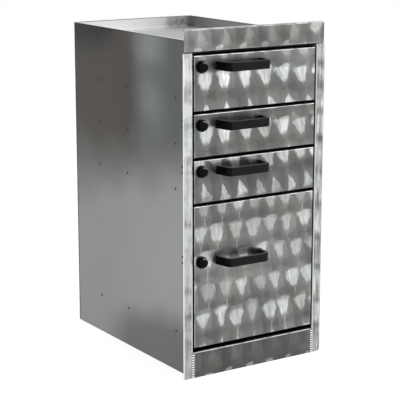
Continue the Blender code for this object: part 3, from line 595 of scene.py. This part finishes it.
def rail_shade(tree, light, axes, low, high):
    """A row of dark blocks between the spots, and painted shade on the lower fold, which turns away into the
    dark gap above the first drawer."""
    block = calc(tree, "SUBTRACT", axes[0], FIRST_BLOCK)
    block = calc(tree, "ABSOLUTE", calc(tree, "WRAP", block, BLOCK_PITCH / 2, -BLOCK_PITCH / 2))
    block = product(tree, fade(tree, block, *BLOCK_SIDES), hump(tree, axes[2], BLOCK_HEIGHT, BLOCK_REACH))
    light = dimmed(tree, light, block, 0.26)
    return dimmed(tree, light, edge_fade(tree, axes[2], low.z, 1.6, 0.8), GAP_SHADE)


# Each row of spots: its height, first spot, pitch, reach, ground and glow
TOP_RAIL_ROWS = [
    (0.838, -0.160, 0.0635, 0.070, 0.188, 0.18),
    (0.754, -0.160, 0.0635, 0.029, 0.184, 0.36),
    (0.778, 0.186, 0.9, 0.045, 0.180, 0.32),
]
BOTTOM_RAIL_ROWS = [
    (0.086, -0.128, 0.0580, 0.080, 0.092, 0.05),
    (-0.018, -0.128, 0.0600, 0.028, 0.086, 0.36),
]
top_rail_sheet = swirled_finish(
    "top_rail_sheet", "top_rail", TOP_RAIL_ROWS, 0.18, (0.84, 0.50, 0.66), lift=0.45, shade=rail_shade
)
bottom_rail_sheet = swirled_finish("bottom_rail_sheet", "bottom_rail", BOTTOM_RAIL_ROWS, 0.088, (0.9, 0, 0))
dress(top_rail_sheet, "top_rail")
dress(bottom_rail_sheet, "bottom_rail")


# Weld beads
# Two short beads of filler metal join the lower rail to the stiles. Each is a row of ripples, one for every
# dab of the rod, with a painted highlight on the crest of each ripple.
bead_low, bead_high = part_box("left_weld_bead")
BEAD_HALF = (bead_high.x - bead_low.x) / 2
BEAD_FLATNESS = (bead_high.y - bead_low.y) / BEAD_HALF
SEAM_X = -(bead_high.x + bead_low.x) / 2
RIPPLE_PITCH = 0.0058
RIPPLE_LEAD = 0.0014
RIPPLES_LENGTH = bead_high.z - bead_low.z - RIPPLE_LEAD
RIPPLE_COUNT = round(RIPPLES_LENGTH / RIPPLE_PITCH)
RIPPLE_STEP = RIPPLES_LENGTH / RIPPLE_COUNT
# a ripple's size at each share of its step, and where the bead's foot rises: within which share, by how much
RIPPLE_STEPS = ((0.10, 0.82), (0.28, 0.97), (0.60, 1.00), (0.86, 0.90), (1.00, 0.66))
FOOT_STEPS = ((0.70, 0.4), (0.40, 0.6))
WELD_DARK = (0.135, 0.130, 0.122, 1)
WELD_CREST_HIGHLIGHT = (0.93, 0.93, 0.92, 1)


def deselect_all():
    for thing in bpy.context.selected_objects:
        thing.select_set(False)


def open_piece(name):
    """Names the new piece, lays its place, turn and size into its mesh, and opens it for shaping."""
    piece = bpy.context.object
    piece.name = name
    bpy.ops.object.transform_apply(location=True, rotation=True, scale=True)
    bpy.ops.object.mode_set(mode="EDIT")
    return piece


def close_piece(finish, angle=35):
    """Points the faces outwards, leaves edit mode, and shades what is rounder than an angle smooth."""
    bpy.ops.mesh.select_all(action="SELECT")
    bpy.ops.mesh.normals_make_consistent(inside=False)
    bpy.ops.object.mode_set(mode="OBJECT")
    piece = bpy.context.object
    bpy.ops.object.shade_smooth_by_angle(angle=radians(angle))
    piece.data.materials.append(finish)


def pick(kind, test):
    """Selects those corners, edges or faces of the open piece whose middle and direction pass a test."""
    bpy.ops.mesh.select_mode(type=kind)
    bpy.ops.mesh.select_all(action="DESELECT")
    shape = bmesh.from_edit_mesh(bpy.context.object.data)
    shape.normal_update()
    if kind == "FACE":
        found = [(face, face.calc_center_median(), face.normal) for face in shape.faces]
    elif kind == "EDGE":
        found = [
            (edge, (start.co + end.co) / 2, (end.co - start.co).normalized())
            for edge in shape.edges
            for start, end in [edge.verts]
        ]
    else:
        found = [(vert, vert.co, vert.normal) for vert in shape.verts]
    for part, middle, way in found:
        if test(middle, way):
            part.select_set(True)
    bmesh.update_edit_mesh(bpy.context.object.data)


def copied(piece, name, shift):
    """A copy of a finished piece with a mesh of its own, its new place laid into that mesh."""
    deselect_all()
    piece.select_set(True)
    bpy.context.view_layer.objects.active = piece
    bpy.ops.object.duplicate(linked=False)
    copy = bpy.context.object
    copy.name = name
    copy.location = shift
    bpy.ops.object.transform_apply(location=True, rotation=False, scale=False)
    return copy


def weld_finish():
    """A painted highlight on the crests of the ripples, and dark between them and along the sides."""
    finish, tree, shader, place, axes = new_finish("weld_metal", 0.26)
    lines = use_group(tree, grain, place, (260.0, 260.0, 260.0))[0]
    along = calc(tree, "DIVIDE", calc(tree, "SUBTRACT", axes[2], bead_low.z), RIPPLE_STEP)
    crest = hump(tree, calc(tree, "FRACT", along), 0.45, 0.42)
    aside = calc(tree, "SUBTRACT", calc(tree, "ABSOLUTE", axes[0]), SEAM_X)
    middle = fade(tree, calc(tree, "ABSOLUTE", aside), BEAD_HALF, BEAD_HALF * 0.72)
    metal = tint(tree, product(tree, crest, scaled(tree, middle, 0.5, 0.5)), WELD_DARK, WELD_CREST_HIGHLIGHT)
    tree.links.new(times(tree, metal, scaled(tree, lines, 0.40, 0.80)), shader["Base Color"])
    bump(tree, shader, lines, 0.2, FINE_GRAIN)
    return finish


root = (-SEAM_X, bead_high.y, bead_low.z)
deselect_all()
bpy.ops.mesh.primitive_circle_add(vertices=24, radius=BEAD_HALF, fill_type="NGON", location=root)
left_bead = open_piece("left_weld_ripples")
bpy.ops.mesh.bisect(plane_co=root, plane_no=(0, 1, 0), clear_outer=True)
bpy.ops.mesh.select_all(action="SELECT")
size = RIPPLE_STEPS[-1][1]
bpy.ops.transform.resize(value=(size, BEAD_FLATNESS * size, 1), center_override=root)
for share, lead in FOOT_STEPS:
    pick("VERT", lambda spot, way: abs(spot.x + SEAM_X) < BEAD_HALF * size * share)
    bpy.ops.transform.translate(value=(0, 0, RIPPLE_LEAD * lead))
bpy.ops.mesh.select_mode(type="FACE")
bpy.ops.mesh.select_all(action="SELECT")
reached = 0
for ripple in range(RIPPLE_COUNT):
    for share, next_size in RIPPLE_STEPS:
        climb = (ripple + share) * RIPPLE_STEP - reached
        reached += climb
        bpy.ops.mesh.extrude_region_move(TRANSFORM_OT_translate={"value": (0, 0, climb)})
        grown = next_size / size
        top = (root[0], root[1], root[2] + reached)
        bpy.ops.transform.resize(value=(grown, grown, 1), center_override=top)
        size = next_size
close_piece(weld_finish(), 60)
right_bead = copied(left_bead, "right_weld_ripples", (2 * SEAM_X, 0, 0))
for bead, node in ((left_bead, "left_weld_bead"), (right_bead, "right_weld_bead")):
    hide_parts(node)
    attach(bead, "carcass")


# Drawer fronts
# Four folded pans, flush with the frame, with a round hole for the lock. Each was cut from a turned sheet and
# has its own rows of spots, thin lines of light and slant of the fans. The drawers are numbered from the top.
FRONT_ROWS = {
    1: [(0.734, -0.150, 0.060, 0.060, 0.180, 0.24), (0.668, -0.141, 0.0578, 0.060, 0.170, 0.78)],
    2: [(0.628, -0.138, 0.059, 0.060, 0.150, 0.24), (0.544, -0.138, 0.0572, 0.060, 0.152, 0.66)],
    3: [(0.477, -0.153, 0.0497, 0.070, 0.128, 0.60)],
    4: [
        (0.375, -0.145, 0.0481, 0.060, 0.172, 0.38),
        (0.310, -0.156, 0.0515, 0.060, 0.172, 0.40),
        (0.243, -0.130, 0.0520, 0.060, 0.180, 0.40),
        (0.168, -0.134, 0.0508, 0.060, 0.176, 0.42),
        (0.101, -0.143, 0.0478, 0.067, 0.158, 0.48),
        (0.047, -0.151, 0.0520, 0.034, 0.150, 0.40),
    ],
}
THIN_LINES = {1: 0.0, 2: 0.0, 3: 0.0, 4: 0.40}
FAN_SLANTS = {1: (0.20, 1.10), 2: (0.20, 1.10), 3: (0.27, 0.10), 4: (0.11, 0.50)}
FRONT_FOLD = 0.003
FOLD_SEGMENTS = 6
BARREL_HOLE = 0.0134


def front_shade(tree, light, axes, low, high):
    """Where a fold turns into the gap, the dark between the sheets that it reflects is painted on it as
    shade.
    """
    aside = calc(tree, "ABSOLUTE", axes[0])
    off_middle = calc(tree, "ABSOLUTE", calc(tree, "SUBTRACT", axes[2], (low.z + high.z) / 2))
    dark = calc(
        tree, "MAXIMUM", edge_fade(tree, aside, high.x, -1.1, -0.65),
        edge_fade(tree, off_middle, (high.z - low.z) / 2, -0.6, -0.25),
    )
    dark = calc(tree, "MAXIMUM", dark, edge_fade(tree, axes[2], low.z, 1.3, 0.65))
    dark = product(tree, dark, edge_fade(tree, axes[1], low.y, 2.5, 1.5))
    return dimmed(tree, light, dark, GAP_SHADE)


def front_pan(node):
    """A block without its back, its other edges folded, given its sheet."""
    low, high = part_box(node)
    deselect_all()
    bpy.ops.mesh.primitive_cube_add(size=1, location=(low + high) / 2, scale=high - low)
    pan = open_piece(node.replace("_front", "_turned_front"))
    pick("FACE", lambda spot, way: way.y > 0.5)
    bpy.ops.mesh.delete(type="FACE")
    pick("EDGE", lambda spot, way: abs(way.y) > 0.5 or spot.y < low.y + FRONT_FOLD)
    bpy.ops.mesh.bevel(offset=FRONT_FOLD, segments=FOLD_SEGMENTS, affect="EDGES", clamp_overlap=True)
    bpy.ops.mesh.select_all(action="SELECT")
    bpy.ops.mesh.normals_make_consistent(inside=False)
    bpy.ops.object.mode_set(mode="OBJECT")
    wall = pan.modifiers.new("sheet", "SOLIDIFY")
    wall.thickness = SHEET
    wall.offset = -1
    wall.use_even_offset = True
    bpy.ops.object.modifier_apply(modifier=wall.name)
    return pan


def drill(piece, spot, radius, sides, reach):
    """Cuts a round hole along Y through a piece."""
    deselect_all()
    bpy.ops.mesh.primitive_cylinder_add(
        vertices=sides, radius=radius, depth=reach, location=spot, rotation=(pi / 2, 0, 0)
    )
    punch = bpy.context.object
    deselect_all()
    piece.select_set(True)
    bpy.context.view_layer.objects.active = piece
    hole = piece.modifiers.new("hole", "BOOLEAN")
    hole.object = punch
    hole.operation = "DIFFERENCE"
    hole.solver = "EXACT"
    bpy.ops.object.modifier_apply(modifier=hole.name)
    bpy.data.objects.remove(punch)


for number, rows in FRONT_ROWS.items():
    node = f"drawer_{number}_front"
    pan = front_pan(node)
    ring_low, ring_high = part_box(f"latch_{number}_ring")
    lock_spot = Vector(((ring_low.x + ring_high.x) / 2, FRONT_Y + SHEET / 2, (ring_low.z + ring_high.z) / 2))
    drill(pan, lock_spot, BARREL_HOLE, 64, 6 * SHEET)
    bpy.ops.object.shade_smooth_by_angle(angle=radians(30))
    pan.data.materials.clear()
    sheet = swirled_finish(
        f"front_{number}_sheet", node, rows, 0.20, (1.0, 0.8, 0.0), THIN_LINES[number], FAN_SLANTS[number],
        shade=front_shade,
    )
    pan.data.materials.append(sheet)
    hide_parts(node)
    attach(pan, f"drawer_{number}")


# Drawer trays
# Folded boxes of thin sheet, open on top, as it came from the mill. The screws of the handle hold each to its
# front, and its runners are fixed to its sides.
TRAY_SHEET = 0.0012
tray_sheet = plain_finish("tray_sheet", (0.62, 0.625, 0.63), (400.0, 4.0, 400.0), 0.40)
dress(tray_sheet, *[f"drawer_{number}_tray" for number in FRONT_ROWS])


# Handles
# One bow of black glass-filled nylon on each front: a flat bar on two legs that lean inwards, held from
# behind by a screw into each foot.
HANDLE_LEG = 0.009
HANDLE_BAR = 0.008
HANDLE_LEAN = 0.008
HANDLE_CORNER = 0.012
HANDLE_INNER_CORNER = 0.004
HANDLE_RIM = 0.0016
FRONT_CLEARANCE = 0.0003
HAIR = 1e-5


def plastic_finish(name, roughness, grit, gloss, tones, lit):
    """Moulded black plastic in a dark and a light tone, with a third tone painted on its forward face as a
    sheen, and a fourth painted as a highlight where it faces the given way."""
    finish, tree, shader, place, _ = new_finish(name, roughness, 0.0)
    shader["Specular IOR Level"].default_value = gloss
    fine = noise(tree, place, 1300.0, 2.0, 0.5)
    clouds = noise(tree, place, 60.0, 2.0, 0.5)
    dark, light, face_sheen, highlight = [(tone, tone, tone * 1.04, 1) for tone in tones]
    normal = put(tree, "TexCoord").outputs["Normal"]
    forwards = fade(tree, put(tree, "SeparateXYZ", normal).outputs[1], -0.80, -0.99)
    towards = put(tree, "VectorMath", normal, lit, operation="DOT_PRODUCT").outputs["Value"]
    colour = tint(tree, forwards, tint(tree, clouds, dark, light), face_sheen)
    tree.links.new(tint(tree, fade(tree, towards, 0.84, 0.97), colour, highlight), shader["Base Color"])
    tree.links.new(scaled(tree, clouds, 0.14, roughness - 0.07), shader["Roughness"])
    bump(tree, shader, fine, grit, FINE_GRAIN)
    return finish


handle_plastic = plastic_finish(
    "handle_plastic", 0.42, 0.16, 0.06, (0.0010, 0.0022, 0.0120, 0.0900), (0, -0.35, 0.94)
)


def bow_handle(node):
    """A block, cut into two legs and a bar, with its legs leant inwards and its corners rounded."""
    low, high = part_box(node)
    foot_y = FRONT_Y - FRONT_CLEARANCE
    middle = (low + high) / 2
    half = (high.x - low.x) / 2
    reach = foot_y - low.y
    bar_y = low.y + HANDLE_BAR
    deselect_all()
    bpy.ops.mesh.primitive_cube_add(
        size=1, location=(middle.x, foot_y - reach / 2, middle.z), scale=(2 * half, reach, high.z - low.z)
    )
    piece = open_piece(node.replace("_handle", "_bow_handle"))
    # cut the block where the legs and the bar meet, and take out the block between the legs
    for spot, way in (
        ((middle.x - half + HANDLE_LEG, 0, 0), (1, 0, 0)),
        ((middle.x + half - HANDLE_LEG, 0, 0), (1, 0, 0)),
        ((0, bar_y, 0), (0, 1, 0)),
    ):
        bpy.ops.mesh.select_all(action="SELECT")
        bpy.ops.mesh.bisect(plane_co=spot, plane_no=way)
    between = half - HANDLE_LEG
    pick("FACE", lambda spot, way: abs(spot.x - middle.x) < between * 0.5 and spot.y > bar_y)
    bpy.ops.mesh.delete(type="FACE")
    pick(
        "EDGE",
        lambda spot, way: abs(way.z) < 0.5
        and ((abs(abs(spot.x - middle.x) - between) < HAIR and spot.y > bar_y)
             or (abs(spot.y - bar_y) < HAIR and abs(spot.x - middle.x) < between * 0.5)),
    )
    bpy.ops.mesh.bridge_edge_loops()
    # lean both legs inwards, more the further they stand out
    for level, lean in ((low.y, HANDLE_LEAN), (bar_y, HANDLE_LEAN * (foot_y - bar_y) / reach)):
        for side in (-1, 1):
            pick("VERT", lambda spot, way: abs(spot.y - level) < HAIR and (spot.x - middle.x) * side > 0)
            bpy.ops.transform.translate(value=(-side * lean, 0, 0))
    bpy.ops.mesh.select_all(action="SELECT")
    bpy.ops.mesh.dissolve_limited(angle_limit=radians(1))
    # round the four corners of the bow, then its upper and lower rims
    pick("EDGE", lambda spot, way: abs(way.z) > 0.5 and spot.y < low.y + HAIR)
    bpy.ops.mesh.bevel(offset=HANDLE_CORNER, segments=10, affect="EDGES")
    pick("EDGE", lambda spot, way: abs(way.z) > 0.5 and abs(spot.y - bar_y) < HAIR)
    bpy.ops.mesh.bevel(offset=HANDLE_INNER_CORNER, segments=5, affect="EDGES")
    pick(
        "EDGE",
        lambda spot, way: abs(abs(spot.z - middle.z) - (high.z - low.z) / 2) < HAIR
        and spot.y < foot_y - HAIR,
    )
    bpy.ops.mesh.bevel(offset=HANDLE_RIM, segments=4, affect="EDGES", clamp_overlap=True)
    close_piece(handle_plastic, 30)
    return piece


SCREW_RADIUS = 0.004
SCREW_HEAD = 0.0025
SCREW_SEAT = SHEET + TRAY_SHEET + 2 * FRONT_CLEARANCE
screw_steel = zinc_finish("screw_steel")


def handle_screws(number, middle, half):
    """The two pan heads inside the drawer, seated on its tray, each with a round recess for the driver."""
    deselect_all()
    seat = FRONT_Y + SCREW_SEAT
    place = (middle.x - half + HANDLE_LEG / 2, seat + SCREW_HEAD / 2, middle.z)
    bpy.ops.mesh.primitive_cylinder_add(
        vertices=32, radius=SCREW_RADIUS, depth=SCREW_HEAD, location=place, rotation=(pi / 2, 0, 0)
    )
    left = open_piece(f"handle_{number}_left_screw")
    pick("FACE", lambda spot, way: way.y > 0.9)
    bpy.ops.mesh.bevel(offset=SCREW_HEAD * 0.4, segments=3, affect="EDGES")
    pick("FACE", lambda spot, way: way.y > 0.9999)
    bpy.ops.mesh.inset(thickness=SCREW_RADIUS * 0.25)
    bpy.ops.mesh.extrude_region_move(TRANSFORM_OT_translate={"value": (0, -SCREW_HEAD * 0.6, 0)})
    close_piece(screw_steel)
    right = copied(left, f"handle_{number}_right_screw", (2 * half - HANDLE_LEG, 0, 0))
    return left, right


first_handle = bow_handle("drawer_1_handle")
low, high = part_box("drawer_1_handle")
first_middle = (low + high) / 2
first_screws = handle_screws(1, first_middle, (high.x - low.x) / 2)
for number in FRONT_ROWS:
    low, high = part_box(f"drawer_{number}_handle")
    shift = (low + high) / 2 - first_middle
    if number == 1:
        handle, screws = first_handle, first_screws
    else:
        handle = copied(first_handle, f"drawer_{number}_bow_handle", shift)
        screws = [
            copied(screw, screw.name.replace("handle_1", f"handle_{number}"), shift) for screw in first_screws
        ]
    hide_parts(f"drawer_{number}_handle")
    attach(handle, f"drawer_{number}")
    for screw in screws:
        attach(screw, f"drawer_{number}")


# Rings and knobs
# The lock's ring is pressed onto its barrel. The domed knob slides in it, and its stem reaches back to the
# bolt, where it ends in a slope. Both are black plastic, smoother than the handles.
KNOB_RADIUS = 0.012
KNOB_REACH = 0.0135
KNOB_BACK = 0.0015
KNOB_CROWN = 0.001
KNOB_CROWN_RINGS = ((0.0022, 0.50), (0.0022, 0.28), (0.0022, 0.16), (0.0012, 0.06))
KNOB_RIM = 0.0035
STEM_RADIUS = 0.0048
STEM_END = 0.047
RING_RADIUS = 0.0145
RING_REACH = 0.0043
RING_EDGE = 0.0009
RING_BORE = 0.0123
RING_LIP = 0.001
CHORD = 0.0001
lock_plastic = plastic_finish(
    "lock_plastic", 0.25, 0.04, 0.06, (0.0008, 0.0014, 0.0020, 0.2400), (0.25, -0.76, 0.60)
)


def lock_knob(x, z):
    """A short cylinder with a rounded rim and a low crown, and its stem, cut off at a slope."""
    shoulder = FRONT_Y - KNOB_REACH + KNOB_CROWN
    back = FRONT_Y - KNOB_BACK
    deselect_all()
    bpy.ops.mesh.primitive_cylinder_add(
        vertices=64, radius=KNOB_RADIUS, depth=back - shoulder, location=(x, (back + shoulder) / 2, z),
        rotation=(pi / 2, 0, 0),
    )
    piece = open_piece("latch_1_domed_knob")
    pick("FACE", lambda spot, way: way.y < -0.9)
    bpy.ops.mesh.bevel(offset=KNOB_RIM, segments=7, affect="EDGES")
    # the crown: smaller rings, each standing a little further out
    pick("FACE", lambda spot, way: way.y < -0.9999)
    for inset, rise in KNOB_CROWN_RINGS:
        bpy.ops.mesh.inset(thickness=inset)
        bpy.ops.transform.translate(value=(0, -KNOB_CROWN * rise, 0))
    # the stem
    pick("FACE", lambda spot, way: way.y > 0.9)
    bpy.ops.mesh.inset(thickness=KNOB_RADIUS - STEM_RADIUS)
    stem = STEM_END + KNOB_BACK
    bpy.ops.mesh.extrude_region_move(TRANSFORM_OT_translate={"value": (0, stem, 0)})
    bpy.ops.mesh.select_all(action="SELECT")
    tip = (x + STEM_RADIUS, FRONT_Y + STEM_END, z)
    bpy.ops.mesh.bisect(plane_co=tip, plane_no=(-1, 1, 0), use_fill=True, clear_outer=True)
    close_piece(lock_plastic)
    return piece


def lock_ring(x, z):
    """A disc with a rounded edge, hollowed from behind to fit over the barrel, and bored for the knob."""
    front = FRONT_Y - RING_REACH
    back = FRONT_Y - FRONT_CLEARANCE
    deselect_all()
    bpy.ops.mesh.primitive_cylinder_add(
        vertices=64, radius=RING_RADIUS, depth=back - front, location=(x, (back + front) / 2, z),
        rotation=(pi / 2, 0, 0),
    )
    piece = open_piece("latch_1_turned_ring")
    pick("FACE", lambda spot, way: way.y < -0.9)
    bpy.ops.mesh.bevel(offset=RING_EDGE, segments=4, affect="EDGES")
    pick("FACE", lambda spot, way: way.y < -0.9999)
    bpy.ops.mesh.inset(thickness=RING_RADIUS - RING_EDGE - RING_BORE)
    bpy.ops.mesh.delete(type="FACE")
    pick("FACE", lambda spot, way: way.y > 0.9)
    bpy.ops.mesh.inset(thickness=RING_RADIUS - BARREL_HOLE)
    bpy.ops.mesh.extrude_region_move(TRANSFORM_OT_translate={"value": (0, front + RING_LIP - back, 0)})
    bpy.ops.mesh.inset(thickness=BARREL_HOLE - RING_BORE)
    bpy.ops.mesh.delete(type="FACE")
    # join the two rims of the bore
    pick("EDGE", lambda spot, way: abs(Vector((spot.x - x, spot.z - z)).length - RING_BORE) < CHORD)
    bpy.ops.mesh.bridge_edge_loops()
    close_piece(lock_plastic)
    return piece


low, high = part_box("latch_1_ring")
first_lock = (low + high) / 2
first_knob = lock_knob(first_lock.x, first_lock.z)
first_ring = lock_ring(first_lock.x, first_lock.z)
for number in FRONT_ROWS:
    low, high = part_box(f"latch_{number}_ring")
    shift = (low + high) / 2 - first_lock
    if number == 1:
        knob, ring = first_knob, first_ring
    else:
        knob = copied(first_knob, f"latch_{number}_domed_knob", shift)
        ring = copied(first_ring, f"latch_{number}_turned_ring", shift)
    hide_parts(f"latch_{number}_knob")
    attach(knob, f"knob_{number}")
    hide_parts(f"latch_{number}_ring")
    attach(ring, f"drawer_{number}")


# Lock cases and bolts
# Die-cast cases, zinc plated, each held to its front by the ring on its barrel. The bolts in them are bright
# drawn steel.
bright = plain_finish("bright_steel_bar", (0.60, 0.60, 0.60), (12.0, 300.0, 300.0), 0.25)
dress(zinc, *[f"latch_{number}_case" for number in FRONT_ROWS])
dress(bright, *[f"latch_{number}_bolt" for number in FRONT_ROWS])


# The studio
# A pale floor and a white surround, both white to the camera and in reflections, and three soft lamps: a key
# from the upper left, a weaker fill from the right, and a small one from above the front.
FLOOR_SIZE = 60
FLOOR_DROP = 0.0004
PAPER = (0.72, 0.72, 0.72, 1)
PAPER_GLOW = 0.56
SURROUND_LIGHT = 0.60
SURROUND_SEEN = 1.0
WHITE = (1, 1, 1, 1)
AIM = (0, 0, 0.4)


def seen_directly(tree):
    """1 to the camera, and in reflections and through glass, and 0 to what the light falls on."""
    rays = put(tree, "LightPath").outputs
    seen = calc(tree, "MAXIMUM", rays["Is Camera Ray"], rays["Is Glossy Ray"])
    return calc(tree, "MAXIMUM", seen, rays["Is Transmission Ray"])


deselect_all()
bpy.ops.mesh.primitive_plane_add(size=FLOOR_SIZE, location=(0, 0, -FLOOR_DROP))
floor = bpy.context.object
floor.name = "studio_floor"
paper, tree, shader, *_ = new_finish("studio_paper", 0.9, 0.0)
shader["Base Color"].default_value = PAPER
shader["Specular IOR Level"].default_value = 0.0
shader["Emission Color"].default_value = WHITE
tree.links.new(product(tree, seen_directly(tree), PAPER_GLOW), shader["Emission Strength"])
floor.data.materials.append(paper)

world = bpy.data.worlds.new("studio_surround")
world.use_nodes = True
bpy.context.scene.world = world
tree = world.node_tree
background = tree.nodes["Background"].inputs
background["Color"].default_value = WHITE
surround = scaled(tree, seen_directly(tree), SURROUND_SEEN - SURROUND_LIGHT, SURROUND_LIGHT)
tree.links.new(surround, background["Strength"])


def lamp(name, place, size, power):
    """A square lamp that shines towards the cabinet's middle."""
    deselect_all()
    bpy.ops.object.light_add(type="AREA", location=place)
    light = bpy.context.object
    light.name = name
    light.data.size = size
    light.data.energy = power
    light.rotation_euler = (Vector(AIM) - Vector(place)).to_track_quat("-Z", "Y").to_euler()


lamp("key_lamp", (-2.2, -2.0, 2.8), 1.6, 45)
lamp("fill_lamp", (2.4, -2.2, 1.6), 2.0, 12)
lamp("top_lamp", (0.7, -1.8, 2.7), 0.7, 16)

CAMERA_PLACE = (-1.8662, -2.88465, 1.1295)
CAMERA_DOWN = 12.604
CAMERA_RIGHT = 33.067
CAMERA_LENS = 125.85
CAMERA_SENSOR = 36
deselect_all()
bpy.ops.object.camera_add(location=CAMERA_PLACE)
camera = bpy.context.object
camera.rotation_euler = (radians(90 - CAMERA_DOWN), 0, radians(-CAMERA_RIGHT))
camera.data.lens = CAMERA_LENS
camera.data.sensor_width = CAMERA_SENSOR
bpy.context.scene.camera = camera
bpy.context.scene.view_settings.view_transform = "Standard"

low, high = cad_box
